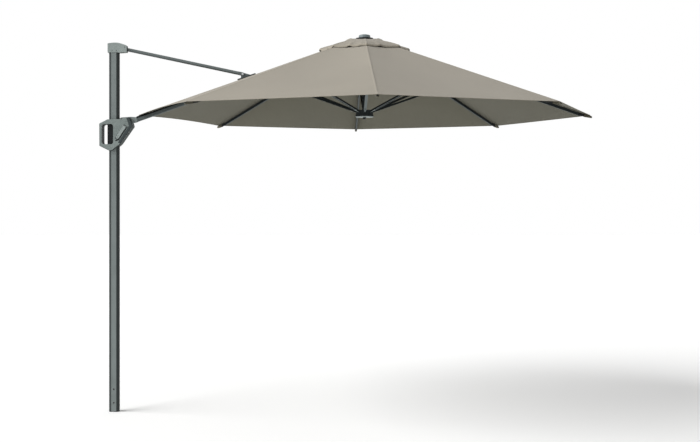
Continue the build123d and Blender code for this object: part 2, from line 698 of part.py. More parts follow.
def rib_tube(azimuth):
    """Rectangular tube from beside the hub to the tapered end near the rim."""
    with BuildPart() as rib:
        with BuildSketch(along_arm(azimuth, RIB_START_R, ridge_z(RIB_START_R) - RIB_DROP)):
            RectangleRounded(RIB_W, RIB_H, 3)
            RectangleRounded(RIB_W - 2 * RIB_WALL, RIB_H - 2 * RIB_WALL, 1.8, mode=Mode.SUBTRACT)
        extrude(amount=RIB_LENGTH)
        with BuildSketch(arm_plane(azimuth)):
            with Locations((STRUT_R, STRUT_PIVOT_Z)):
                Circle(PIN_R)
        extrude(amount=RIB_W, both=True, mode=Mode.SUBTRACT)
    return rib.part


def rib_fittings(azimuth):
    """Hub eye, strut pin and tapered end of one rib, as three separate solids."""
    root = along_arm(azimuth, RIB_START_R, ridge_z(RIB_START_R) - RIB_DROP)
    taper = along_arm(azimuth, RIB_END_R, ridge_z(RIB_END_R) - RIB_DROP)
    tip = along_arm(azimuth, RIB_TIP_R, ridge_z(RIB_TIP_R) - RIB_TIP_DROP)
    with BuildPart() as fittings:
        with BuildSketch(arm_plane(azimuth)):
            with Locations((HINGE_R, UPPER_HINGE_Z)):
                Circle(EYE_R)
            Polygon(
                (HINGE_R, UPPER_HINGE_Z + EYE_R), (RIB_START_R + 4, UPPER_HINGE_Z + 4),
                (RIB_START_R + 4, UPPER_HINGE_Z - 7), (HINGE_R, UPPER_HINGE_Z - EYE_R),
                align=None,
            )
        extrude(amount=HUB_TONGUE_HALF, both=True)
        with BuildSketch(root):
            RectangleRounded(RIB_W - 2 * RIB_WALL, RIB_H - 2 * RIB_WALL, 1.8)
        extrude(amount=40)
        with BuildSketch(arm_plane(azimuth)):
            with Locations((HINGE_R, UPPER_HINGE_Z)):
                Circle(PIN_R + RUN_FIT)
        extrude(amount=12, both=True, mode=Mode.SUBTRACT)
        with BuildSketch(arm_plane(azimuth)):
            with Locations((STRUT_R, STRUT_PIVOT_Z)):
                Circle(PIN_R)
        extrude(amount=9.5, both=True)
        with BuildSketch(taper):
            RectangleRounded(RIB_W + 1, RIB_H + 1, 3.5)
        with BuildSketch(tip):
            RectangleRounded(RIB_W + 1, RIB_TIP_H, 3.5)
        loft()
    return fittings.part


for number, azimuth in enumerate(RIB_AZIMUTHS, start=1):
    save(rib_tube(azimuth), f"rib_{number}")
    save(rib_fittings(azimuth), f"rib_{number}_fittings")


# ======================================================================================
# Struts: grooved bars from the runner to the ribs, each with a fork round its arm
# ======================================================================================
STRUT_HALF = 9.0
STRUT_HEIGHT = 12.0
STRUT_TONGUE_HALF = 6.0
STRUT_WIDEN = 30.0
RIB_FORK_LENGTH = 62.0
BOOM_FORK_LENGTH = 125.0
STRUT_LENGTH = (
    Vector(STRUT_R, STRUT_PIVOT_Z) - Vector(HINGE_R, LOWER_HINGE_Z)
).length


def strut_bar(azimuth, gap_half, fork_half, fork_length):
    """Strut of one arm: tongue at the runner, fork at the arm, groove underneath."""
    a = radians(azimuth)
    rise = radians(SLOPE_ANGLE)
    foot = (HUB_X + HINGE_R * cos(a), HINGE_R * sin(a), LOWER_HINGE_Z)
    side = Plane(
        origin=foot,
        x_dir=(cos(a) * cos(rise), sin(a) * cos(rise), sin(rise)),
        z_dir=(sin(a), -cos(a), 0),
    )
    half = STRUT_HEIGHT / 2
    with BuildPart() as strut:
        with BuildSketch(side):
            with Locations((STRUT_LENGTH / 2, 0)):
                SlotCenterToCenter(STRUT_LENGTH, STRUT_HEIGHT)
        extrude(amount=STRUT_TONGUE_HALF, both=True)
        with BuildSketch(side):
            with Locations(((STRUT_WIDEN + STRUT_LENGTH - fork_length) / 2, 0)):
                Rectangle(STRUT_LENGTH - fork_length - STRUT_WIDEN, STRUT_HEIGHT)
        extrude(amount=STRUT_HALF, both=True)
        with BuildSketch(side):
            with Locations((STRUT_LENGTH - fork_length / 2 - 7, 0)):
                Rectangle(fork_length + 14, STRUT_HEIGHT)
            with Locations((STRUT_LENGTH, 0)):
                Circle(half)
        extrude(amount=fork_half, both=True)
        with BuildSketch(side):
            with Locations((STRUT_LENGTH + 20 - fork_length / 2, 0)):
                Rectangle(fork_length + 40, 3 * STRUT_HEIGHT)
        extrude(amount=gap_half, both=True, mode=Mode.SUBTRACT)
        with BuildSketch(side):
            with Locations(((STRUT_WIDEN + STRUT_LENGTH - fork_length) / 2 + 4, -half)):
                Rectangle(STRUT_LENGTH - fork_length - STRUT_WIDEN - 24, 7)
        extrude(amount=STRUT_HALF - 3, both=True, mode=Mode.SUBTRACT)
        with BuildSketch(side):
            with Locations((0, 0), (STRUT_LENGTH, 0)):
                Circle(PIN_R + RUN_FIT)
        extrude(amount=fork_half + 5, both=True, mode=Mode.SUBTRACT)
    return strut.part


save(strut_bar(BOOM_AZIMUTH, BOOM_W / 2 + 0.5, BOOM_W / 2 + 3, BOOM_FORK_LENGTH), "strut_boom")
for number, azimuth in enumerate(RIB_AZIMUTHS, start=1):
    save(strut_bar(azimuth, RIB_W / 2 + 0.5, STRUT_HALF, RIB_FORK_LENGTH), f"strut_{number}")

# ======================================================================================
# Canopy: one sector of cloth on every arm, with its part of the vent cap above it
# ======================================================================================
FLAT_RATIO = cos(radians(22.5))


def pyramid(low_radius, low_z, high_radius, high_z):
    """Octagonal cone frustum about the hub axis, its corners on the arms."""
    with BuildPart() as solid:
        with BuildSketch(Plane((HUB_X, 0, low_z))):
            RegularPolygon(low_radius, 8)
        with BuildSketch(Plane((HUB_X, 0, high_z))):
            RegularPolygon(high_radius, 8)
        loft()
    return solid.part


def cloth_shell(low_radius, low_z, high_radius, high_z):
    """Cloth of constant height along the frustum's faces."""
    outside = pyramid(low_radius, low_z, high_radius, high_z)
    inside = pyramid(low_radius, low_z, high_radius, high_z).moved(Location((0, 0, -CLOTH)))
    return outside - inside


CANOPY_SHELL = cloth_shell(RIM_R, RIM_Z, CANOPY_INNER_R, ridge_z(CANOPY_INNER_R))
VENT_SHELL = cloth_shell(VENT_R, VENT_RIM_Z, VENT_TOP_R, VENT_TOP_Z)


def wedge(azimuth, inner_radius):
    """Upright prism over one arm, from the cloth's middle hole to past the rim."""
    apex = SECTOR_GAP / sin(radians(22.5))
    reach = 2.0 * RIM_R
    with BuildPart() as prism:
        with BuildSketch(Plane((HUB_X, 0, 1500))):
            with Locations(Location((0, 0), azimuth)):
                Polygon(
                    (apex, 0), (apex + reach * FLAT_RATIO, reach * sin(radians(22.5))),
                    (apex + reach * FLAT_RATIO, -reach * sin(radians(22.5))),
                    align=None,
                )
            RegularPolygon(inner_radius, 8, mode=Mode.SUBTRACT)
        extrude(amount=1200)
    return prism.part


def canopy_sector(azimuth):
    """Cloth of one arm, out to the middle of the gores on both sides of it."""
    with BuildPart() as sector:
        add(CANOPY_SHELL)
        add(wedge(azimuth, CANOPY_INNER_R), mode=Mode.INTERSECT)
        if azimuth == BOOM_AZIMUTH:
            with BuildSketch(Plane.XY.offset(2000)):
                with Locations(((STEM_START_X + STEM_END_X) / 2, 0)):
                    Rectangle(STEM_END_X - STEM_START_X + 2, 2 * STEM_HALF + 2)
            extrude(amount=500, mode=Mode.SUBTRACT)
        add(VENT_SHELL.intersect(wedge(azimuth, VENT_TOP_R)))
    return sector.part


save(canopy_sector(BOOM_AZIMUTH), "canopy_boom")
for number, azimuth in enumerate(RIB_AZIMUTHS, start=1):
    save(canopy_sector(azimuth), f"canopy_{number}")
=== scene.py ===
"""Cantilever parasol: materials on the CAD frame, the canopy's cloth with seams and hems, and trim."""

import math

import bmesh
import bpy
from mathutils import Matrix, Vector


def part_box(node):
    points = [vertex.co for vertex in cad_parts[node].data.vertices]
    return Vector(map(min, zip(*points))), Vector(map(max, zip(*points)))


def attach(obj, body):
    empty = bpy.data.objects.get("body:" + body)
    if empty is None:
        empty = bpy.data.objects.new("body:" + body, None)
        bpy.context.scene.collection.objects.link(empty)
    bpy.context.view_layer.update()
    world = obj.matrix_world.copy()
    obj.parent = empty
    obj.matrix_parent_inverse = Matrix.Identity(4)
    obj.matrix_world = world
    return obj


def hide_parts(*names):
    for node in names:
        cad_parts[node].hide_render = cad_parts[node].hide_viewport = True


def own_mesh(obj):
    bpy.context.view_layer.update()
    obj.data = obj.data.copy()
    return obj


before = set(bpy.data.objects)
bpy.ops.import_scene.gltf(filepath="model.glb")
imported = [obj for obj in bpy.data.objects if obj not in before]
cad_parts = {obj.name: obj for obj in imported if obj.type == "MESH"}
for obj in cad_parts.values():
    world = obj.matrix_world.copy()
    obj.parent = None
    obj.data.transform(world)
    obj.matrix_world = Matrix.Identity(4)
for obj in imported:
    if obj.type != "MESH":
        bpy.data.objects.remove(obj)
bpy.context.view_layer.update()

# ---- sizes shared with the CAD model, metres -----------------------------------------
HUB_X = sum(corner[0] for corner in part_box("finial")) / 2
RIM_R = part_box("canopy_4")[1][0] - HUB_X
RIM_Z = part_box("canopy_4")[0][2]
SLOPE = 0.35
BOOM_AZIMUTH = 180.0
RIB_AZIMUTHS = [225.0, 270.0, 315.0, 0.0, 45.0, 90.0, 135.0]
HALF_GORE = math.radians(22.5)
CLOTH_THICK = 0.0011
CANOPY_START_R = 0.111


def arms():
    """Name suffix, azimuth in degrees and CAD body of each of the eight arms."""
    yield "boom", BOOM_AZIMUTH, "boom"
    for number, azimuth in enumerate(RIB_AZIMUTHS, start=1):
        yield str(number), azimuth, f"arm_{number}"


def ridge_z(radius):
    return RIM_Z + SLOPE * (RIM_R - radius)


# ======================================================================================
# Camera, light and floor
# ======================================================================================
CAMERA_LENS = 56.60
CAMERA_PLACE = (1.3235, -7.303, 1.419)
CAMERA_SHIFT = (0.0515, -0.0339)
SUN_STRENGTH = 4.1
SUN_ANGLE = math.radians(55)
SUN_DIRECTION = (0.82, 0.26, -0.52)
SKY_HORIZON = (0.24, 1.0)
SKY_OVERHEAD = (0.50, 0.38)
FLOOR_SIZE = 60


def make_camera():
    data = bpy.data.cameras.new("camera")
    data.lens = CAMERA_LENS
    data.sensor_width = 36.0
    data.shift_x, data.shift_y = CAMERA_SHIFT
    data.clip_end = 100.0
    camera = bpy.data.objects.new("camera", data)
    camera.location = CAMERA_PLACE
    camera.rotation_euler = (math.radians(90), 0, 0)
    bpy.context.scene.collection.objects.link(camera)
    bpy.context.scene.camera = camera


def make_studio():
    """White sky that darkens overhead, one wide sun and a pale floor."""
    scene = bpy.context.scene
    scene.view_settings.view_transform = "Standard"
    world = bpy.data.worlds.new("studio")
    world.use_nodes = True
    tree = world.node_tree
    tree.nodes["Background"].inputs["Color"].default_value = (1, 1, 1, 1)
    direction = tree.nodes.new("ShaderNodeTexCoord")
    split = tree.nodes.new("ShaderNodeSeparateXYZ")
    tree.links.new(direction.outputs["Generated"], split.inputs[0])
    overhead = tree.nodes.new("ShaderNodeMapRange")
    overhead.interpolation_type = "SMOOTHSTEP"
    overhead.inputs["From Min"].default_value, overhead.inputs["To Min"].default_value = SKY_HORIZON
    overhead.inputs["From Max"].default_value, overhead.inputs["To Max"].default_value = SKY_OVERHEAD
    tree.links.new(split.outputs["Z"], overhead.inputs["Value"])
    tree.links.new(overhead.outputs["Result"], tree.nodes["Background"].inputs["Strength"])
    scene.world = world
    key = bpy.data.lights.new("key", "SUN")
    key.energy = SUN_STRENGTH
    key.angle = SUN_ANGLE
    sun = bpy.data.objects.new("key", key)
    sun.rotation_euler = Vector(SUN_DIRECTION).to_track_quat("-Z", "Y").to_euler()
    scene.collection.objects.link(sun)
    bpy.ops.mesh.primitive_plane_add(size=FLOOR_SIZE, location=(1.2, 4, -0.0005))
    floor = bpy.context.object
    floor.name = "floor"
    material, nodes, links, shader = new_material("floor_paint")
    shader.inputs["Base Color"].default_value = (0.95, 0.95, 0.945, 1)
    shader.inputs["Roughness"].default_value = 0.8
    floor.data.materials.append(material)


# ======================================================================================
# Materials
# ======================================================================================
def linear(red, green, blue):
    """Linear colour of an 8-bit display colour."""
    def channel(value):
        value = value / 255
        return value / 12.92 if value <= 0.04045 else ((value + 0.055) / 1.055) ** 2.4

    return (channel(red), channel(green), channel(blue), 1.0)


def new_material(name):
    material = bpy.data.materials.new(name)
    material.use_nodes = True
    nodes = material.node_tree.nodes
    return material, nodes, material.node_tree.links, nodes["Principled BSDF"]


def noise(nodes, links, coordinate, scale, detail=3.0, roughness=0.5):
    texture = nodes.new("ShaderNodeTexNoise")
    texture.inputs["Scale"].default_value = scale
    texture.inputs["Detail"].default_value = detail
    texture.inputs["Roughness"].default_value = roughness
    links.new(coordinate, texture.inputs["Vector"])
    return texture.outputs["Fac"]


def ramp(nodes, links, value, low, high, start=0.35, end=0.65):
    """Two-colour ramp driven by a value."""
    node = nodes.new("ShaderNodeValToRGB")
    node.color_ramp.elements[0].position = start
    node.color_ramp.elements[1].position = end
    node.color_ramp.elements[0].color = low
    node.color_ramp.elements[1].color = high
    links.new(value, node.inputs["Fac"])
    return node.outputs["Color"]


def mix(nodes, links, factor, first, second, blend="MIX"):
    node = nodes.new("ShaderNodeMix")
    node.data_type = "RGBA"
    node.blend_type = blend
    for socket, value in ((node.inputs[0], factor), (node.inputs[6], first), (node.inputs[7], second)):
        if isinstance(value, bpy.types.NodeSocket):
            links.new(value, socket)
        else:
            socket.default_value = value
    return node.outputs[2]


def bump(nodes, links, shader, height, strength, distance):
    node = nodes.new("ShaderNodeBump")
    node.inputs["Strength"].default_value = strength
    node.inputs["Distance"].default_value = distance
    links.new(height, node.inputs["Height"])
    links.new(node.outputs["Normal"], shader.inputs["Normal"])


def object_coordinate(nodes):
    return nodes.new("ShaderNodeTexCoord").outputs["Object"]


def shade(color, factor):
    return tuple(c * factor for c in color[:3]) + (1.0,)


def facing(nodes, links, axis, sign, start, end):
    """1 where the surface looks along an axis in the direction of sign, 0 elsewhere."""
    geometry = nodes.new("ShaderNodeNewGeometry")
    split = nodes.new("ShaderNodeSeparateXYZ")
    links.new(geometry.outputs["Normal"], split.inputs[0])
    value = nodes.new("ShaderNodeMath")
    value.operation = "MULTIPLY"
    value.inputs[1].default_value = sign
    links.new(split.outputs[axis], value.inputs[0])
    share = nodes.new("ShaderNodeMapRange")
    share.interpolation_type = "SMOOTHSTEP"
    share.inputs["From Min"].default_value = start
    share.inputs["From Max"].default_value = end
    links.new(value.outputs[0], share.inputs["Value"])
    return share.outputs["Result"]


def below_line(nodes, links, coordinate, height, soft):
    """1 below a line that climbs along X at the canopy's slope, 0 above it."""
    split = nodes.new("ShaderNodeSeparateXYZ")
    links.new(coordinate, split.inputs[0])
    line = nodes.new("ShaderNodeMath")
    line.operation = "MULTIPLY_ADD"
    line.inputs[1].default_value = -SLOPE
    links.new(split.outputs["X"], line.inputs[0])
    links.new(split.outputs["Z"], line.inputs[2])
    share = nodes.new("ShaderNodeMapRange")
    share.interpolation_type = "SMOOTHSTEP"
    share.inputs["From Min"].default_value = height + soft
    share.inputs["From Max"].default_value = height - soft
    links.new(line.outputs[0], share.inputs["Value"])
    return share.outputs["Result"]


def painted(name, color, roughness=0.42, wear=1.0, layers=(), gloss=0.05):
    """Powder-coated metal: fine orange peel, slow tone changes, and lighter rubbed edges.

    Each layer is (colour, kind, values) and lays a darker or lighter tone over the coat, most of them
    painted shade and painted light. Kind X or Z tones the faces that look along that axis, with values
    (sign, start, end). Kind below tones what lies under a sloping line, with values (height, soft).
    """
    material, nodes, links, shader = new_material(name)
    coordinate = object_coordinate(nodes)
    slow = noise(nodes, links, coordinate, 7.0)
    fine = noise(nodes, links, coordinate, 260.0)
    tone = ramp(nodes, links, slow, shade(color, 0.93), shade(color, 1.07))
    for layer_color, kind, values in layers:
        if kind == "below":
            share = below_line(nodes, links, coordinate, *values)
        else:
            share = facing(nodes, links, kind, *values)
        tone = mix(nodes, links, share, tone, layer_color)
    speckle = ramp(nodes, links, fine, (0.0, 0.0, 0.0, 1), (1.0, 1.0, 1.0, 1), 0.3, 0.7)
    tone = mix(nodes, links, 0.05, tone, speckle, "OVERLAY")
    pointy = nodes.new("ShaderNodeNewGeometry").outputs["Pointiness"]
    edge = ramp(nodes, links, pointy, (0, 0, 0, 1), (wear * 0.35,) * 3 + (1,), 0.53, 0.62)
    tone = mix(nodes, links, edge, tone, shade(color, 1.8))
    links.new(tone, shader.inputs["Base Color"])
    shader.inputs["Metallic"].default_value = 0.0
    shader.inputs["Specular IOR Level"].default_value = gloss
    rough = nodes.new("ShaderNodeMapRange")
    rough.inputs["To Min"].default_value = roughness - 0.05
    rough.inputs["To Max"].default_value = roughness + 0.07
    links.new(slow, rough.inputs["Value"])
    links.new(rough.outputs["Result"], shader.inputs["Roughness"])
    peel = noise(nodes, links, coordinate, 1400.0, detail=2.0)
    bump(nodes, links, shader, peel, 0.12, 0.0002)
    return material


def plastic(name, color, roughness=0.5, grain=900.0, gloss=0.08):
    """Moulded plastic with a fine spark-eroded grain."""
    material, nodes, links, shader = new_material(name)
    shader.inputs["Specular IOR Level"].default_value = gloss
    coordinate = object_coordinate(nodes)
    slow = noise(nodes, links, coordinate, 12.0)
    tone = ramp(nodes, links, slow, shade(color, 0.9), shade(color, 1.12))
    links.new(tone, shader.inputs["Base Color"])
    texture = nodes.new("ShaderNodeTexVoronoi")
    texture.inputs["Scale"].default_value = grain
    links.new(coordinate, texture.inputs["Vector"])
    rough = nodes.new("ShaderNodeMapRange")
    rough.inputs["To Min"].default_value = roughness - 0.06
    rough.inputs["To Max"].default_value = roughness + 0.08
    links.new(slow, rough.inputs["Value"])
    links.new(rough.outputs["Result"], shader.inputs["Roughness"])
    bump(nodes, links, shader, texture.outputs["Distance"], 0.25, 0.0002)
    return material


def steel(name):
    """Zinc-plated steel with fine turning lines."""
    material, nodes, links, shader = new_material(name)
    coordinate = object_coordinate(nodes)
    fine = noise(nodes, links, coordinate, 900.0, detail=4.0)
    tone = ramp(nodes, links, fine, linear(168, 172, 174), linear(205, 208, 209))
    links.new(tone, shader.inputs["Base Color"])
    shader.inputs["Metallic"].default_value = 1.0
    shader.inputs["Roughness"].default_value = 0.32
    bump(nodes, links, shader, fine, 0.15, 0.0001)
    return material


def canvas(name, color, weave_depth=0.5):
    """Woven outdoor canvas: warp and weft threads, slubs, slow fading and a soft sheen."""
    material, nodes, links, shader = new_material(name)
    uv = nodes.new("ShaderNodeUVMap")
    uv.uv_map = "cloth"
    threads = []
    for direction in ("X", "Y"):
        wave = nodes.new("ShaderNodeTexWave")
        wave.wave_type = "BANDS"
        wave.bands_direction = direction
        wave.inputs["Scale"].default_value = 210.0
        wave.inputs["Distortion"].default_value = 0.6
        wave.inputs["Detail"].default_value = 1.0
        links.new(uv.outputs["UV"], wave.inputs["Vector"])
        threads.append(wave.outputs["Fac"])
    weave = nodes.new("ShaderNodeMath")
    weave.operation = "MULTIPLY"
    links.new(threads[0], weave.inputs[0])
    links.new(threads[1], weave.inputs[1])
    slub_scale = nodes.new("ShaderNodeMapping")
    slub_scale.inputs["Scale"].default_value = (40.0, 900.0, 1.0)
    links.new(uv.outputs["UV"], slub_scale.inputs["Vector"])
    slub = noise(nodes, links, slub_scale.outputs["Vector"], 1.0)
    coordinate = object_coordinate(nodes)
    fade = noise(nodes, links, coordinate, 2.2, detail=4.0)
    tone = ramp(nodes, links, fade, shade(color, 0.955), shade(color, 1.045), 0.3, 0.7)
    bright = ramp(nodes, links, slub, (0, 0, 0, 1), (0.16,) * 3 + (1,))
    tone = mix(nodes, links, bright, tone, shade(color, 1.25))
    dark = ramp(nodes, links, weave.outputs[0], (0.18,) * 3 + (1,), (0, 0, 0, 1), 0.0, 0.5)
    tone = mix(nodes, links, dark, tone, shade(color, 0.7))
    links.new(tone, shader.inputs["Base Color"])
    shader.inputs["Roughness"].default_value = 0.92
    shader.inputs["Specular IOR Level"].default_value = 0.18
    shader.inputs["Sheen Weight"].default_value = 0.12
    shader.inputs["Sheen Roughness"].default_value = 0.6
    bump(nodes, links, shader, weave.outputs[0], weave_depth, 0.0004)
    return material


# Near-black: painted shade on the sides of the mast and the head; the stay bracket is also near-black below
# a sloping line.
DARK = linear(22, 25, 26)
MATERIALS = {
    # Mast: faces towards +X and -X are painted near-black as painted shade; the grey front and back are the
    # coat.
    "mast": painted("mast_coat", linear(130, 138, 137), 0.46, 0.2, [
        (DARK, "X", (1, -0.08, 0.12)), (DARK, "X", (-1, 0.04, 0.16))]),
    # Ribs and centre tube: downward faces painted lighter, a painted highlight of light from below.
    "arm": painted("arm_coat", linear(34, 38, 39), 0.40, layers=[(linear(88, 94, 94), "Z", (-1, 0.2, 0.7))]),
    # Boom: painted lighter below a sloping line, a painted highlight along its lower edge.
    "boom": painted("boom_coat", linear(26, 29, 30), 0.40, layers=[
        (linear(98, 105, 105), "below", (1.8890, 0.0030))]),
    # Stay: downward faces painted darker as painted shade.
    "stay": painted("stay_coat", linear(88, 94, 94), 0.40, layers=[
        (linear(52, 56, 57), "Z", (-1, 0.1, 0.6))]),
    # Struts: downward faces painted lighter, a painted highlight of light from below.
    "strut": painted("strut_coat", linear(26, 30, 30), 0.42, layers=[
        (linear(112, 119, 119), "Z", (-1, 0.4, 0.8))]),
    # Slider shells: side faces painted darker and bottom faces darker still, all painted shade.
    "cast": painted("cast_coat", linear(112, 120, 118), 0.46, 0.6, [
        (linear(40, 45, 46), "X", (1, 0.25, 0.60)), (linear(40, 45, 46), "X", (-1, 0.25, 0.60)),
        (linear(30, 34, 34), "Z", (-1, 0.30, 0.62))]),
    # Mast head: left faces painted near-black and right faces darker grey, both painted shade.
    "head": painted("head_coat", linear(128, 136, 134), 0.46, 0.4, [
        (DARK, "X", (-1, 0.3, 0.7)), (linear(66, 71, 71), "X", (1, 0.3, 0.7))]),
    # Stay bracket: painted near-black below a sloping line.
    "bracket": painted("bracket_coat", linear(84, 90, 90), 0.42, layers=[(DARK, "below", (1.9168, 0.0012))]),
    "root": painted("root_coat", linear(108, 115, 114), 0.46),
    # Runner: downward faces painted lighter, a painted highlight of light from below, under a dark body.
    "runner": painted("runner_coat", linear(40, 44, 45), 0.46, layers=[
        (linear(138, 146, 145), "Z", (-1, 0.15, 0.5))]),
    "lever": painted("lever_coat", linear(136, 144, 142), 0.42, gloss=0.2),
    "black": plastic("black_plastic", linear(30, 32, 33), 0.45),
    "rubber": plastic("grip_rubber", linear(40, 45, 46), 0.62, 1600.0),
    # Plastic of the dark strip on the slider's right edges, painted as the shade of a bevelled face.
    "edge": plastic("bevel_shade_plastic", linear(58, 64, 65), 0.55),
    # Pad plastic, also on the dark liner in the hand opening and on the lever's painted shadow strip.
    "pad": plastic("pad_plastic", linear(34, 36, 37), 0.40),
    "finial": plastic("finial_plastic", linear(104, 114, 116), 0.38, gloss=0.3),
    "steel": steel("zinc_steel"),
    "canvas": canvas("canopy_canvas", linear(137, 131, 119)),
    # Underside of the cloth: the same canvas painted darker as painted shade.
    "underside_shade": canvas("canopy_underside_shade", linear(83, 81, 66)),
    # Rib pockets: canvas painted darker, close to the underside's painted shade.
    "pocket": canvas("rib_pocket", linear(76, 73, 60), 0.8),
}

NODE_MATERIALS = {
    "mast": ["mast_tube"],
    "cast": ["slider_front_shell", "slider_rear_shell"],
    "runner": ["runner"],
    "head": ["mast_head", "mast_head_screws", "stay_pivot_bolt"],
    "bracket": ["stay_bracket"],
    "boom": ["boom_tube"],
    "root": ["boom_root", "boom_pivot_pin"],
    "stay": ["stay_tube", "stay_upper_eye", "stay_lower_fork"],
    "arm": ["centre_tube"] + [f"rib_{n}" for n in range(1, 8)],
    "strut": ["strut_boom"] + [f"strut_{n}" for n in range(1, 8)],
    "lever": ["release_lever"],
    "black": ["canopy_corner_plate", "finial_disc", "runner_knob"]
             + [f"rib_{n}_fittings" for n in range(1, 8)],
    "rubber": ["slider_grip"],
    "pad": ["slider_pads", "brake_shoe", "mast_foot_insert", "upper_hub"],
    "finial": ["finial"],
    "steel": ["boom_pins", "slider_fasteners", "hub_hinge_pins",
              "runner_hinge_pins", "boom_hub_eye"],
}


# Top face in canvas; lower face in the same canvas with painted shade.
CANOPY_MATERIALS = [MATERIALS["canvas"], MATERIALS["underside_shade"]]


def dress_nodes():
    """Give every CAD node that stays its material."""
    for key, names in NODE_MATERIALS.items():
        for name in names:
            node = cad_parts[name]
            for material_slot in node.material_slots:
                material_slot.material = MATERIALS[key]
            if not node.material_slots:
                node.data.materials.append(MATERIALS[key])


# ======================================================================================
# Cloth
# ======================================================================================
SEAM_STEPS = [0.0, 0.0030, 0.0052, 0.0066, 0.0085]
SEAM_HEIGHT = 0.0011
SEAM_TOP = SEAM_STEPS[2]
SEAM_FOOT = SEAM_STEPS[3]
SHARP_ANGLE = math.radians(38)
GORE_SAG = 0.014
BOOM_GORE_SAG = -0.002
BOOM_RIM_SAG = -0.009
HEM_WIDTH = 0.028
RIM_SAG = 0.001
HEM_DROP = 0.0020
VENT_START_R = 0.061


def half_name(stem, suffix, side):
    return f"{stem}_{suffix}_{'left' if side > 0 else 'right'}"


def arm_frame(azimuth):
    """Hub axis at the ground, and the outward and sideways directions of an arm."""
    a = math.radians(azimuth)
    radial = Vector((math.cos(a), math.sin(a), 0))
    tangent = Vector((-math.sin(a), math.cos(a), 0))
    return Vector((HUB_X, 0, 0)), radial, tangent


def gore_point(azimuth, side, s, across, z):
    """Point of a half gore: s is the radius of its octagon, across runs from ridge 0 to middle 1."""
    origin, radial, tangent = arm_frame(azimuth)
    out = s * (1 - across * math.sin(HALF_GORE) ** 2)
    lateral = side * s * across * math.sin(HALF_GORE) * math.cos(HALF_GORE)
    return origin + radial * out + tangent * lateral + Vector((0, 0, z))


def across_steps(s, count):
    """Fractions from ridge to middle, with the seam's own narrow steps first."""
    width = s * math.sin(HALF_GORE) * math.cos(HALF_GORE)
    near = [d / width for d in SEAM_STEPS]
    last = near[-1]
    return near + [last + (1 - last) * (k / count) for k in range(1, count + 1)]


def seam_lift(distance):
    """Raised flat-felled seam along the ridge."""
    if distance <= SEAM_TOP:
        return SEAM_HEIGHT
    return 0.0 if distance >= SEAM_FOOT else SEAM_HEIGHT * (SEAM_FOOT - distance) / (SEAM_FOOT - SEAM_TOP)


def sheet_object(name, rows, materials, body):
    """Grid of points as a thin cloth with its uv in metres along and across."""
    mesh = bpy.data.meshes.new(name)
    count = len(rows[0])
    vertices = [p for row in rows for p in row]
    faces = []
    for i in range(len(rows) - 1):
        for j in range(count - 1):
            a = i * count + j
            faces.append((a, a + 1, a + count + 1, a + count))
    mesh.from_pydata([tuple(v) for v in vertices], [], faces)
    layer = mesh.uv_layers.new(name="cloth")
    along = [0.0]
    for i in range(1, len(rows)):
        along.append(along[-1] + (rows[i][count // 2] - rows[i - 1][count // 2]).length)
    place = {}
    for i, row in enumerate(rows):
        run = 0.0
        for j, point in enumerate(row):
            if j:
                run += (point - row[j - 1]).length
            place[i * count + j] = (run, along[i])
    for loop in mesh.loops:
        layer.data[loop.index].uv = place[loop.vertex_index]
    mesh.validate()
    made = bmesh.new()
    made.from_mesh(mesh)
    made.faces.ensure_lookup_table()
    made.normal_update()
    if made.faces[len(made.faces) // 2].normal.z < 0:
        bmesh.ops.reverse_faces(made, faces=made.faces[:])
    made.to_mesh(mesh)
    made.free()
    for polygon in mesh.polygons:
        polygon.use_smooth = True
    cloth = bpy.data.objects.new(name, mesh)
    bpy.context.scene.collection.objects.link(cloth)
    for material in materials:
        mesh.materials.append(material)
    solid = cloth.modifiers.new("thickness", "SOLIDIFY")
    solid.thickness = CLOTH_THICK
    solid.offset = -1.0
    # The lower face takes the second material, which for the canopy is the underside's painted shade.
    if len(materials) > 1:
        solid.material_offset = 1
    bpy.context.view_layer.objects.active = cloth
    apply_modifiers(cloth)
    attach(cloth, body)
    return cloth


def apply_modifiers(piece):
    """Turn the modifiers into plain mesh."""
    depsgraph = bpy.context.evaluated_depsgraph_get()
    mesh = bpy.data.meshes.new_from_object(piece.evaluated_get(depsgraph), depsgraph=depsgraph)
    mesh.set_sharp_from_angle(angle=SHARP_ANGLE)
    piece.modifiers.clear()
    old = piece.data
    piece.data = mesh
    bpy.data.meshes.remove(old)


def fold_with_arm(piece, azimuth, side):
    """Gives the piece its own copy of its mesh; the ridge and across directions worked out here are not
    used.
    """
    origin, radial, tangent = arm_frame(azimuth)
    ridge = (radial - Vector((0, 0, SLOPE))).normalized()
    across = tangent * side * math.cos(HALF_GORE) - radial * math.sin(HALF_GORE)
    across -= ridge * across.dot(ridge)
    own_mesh(piece)


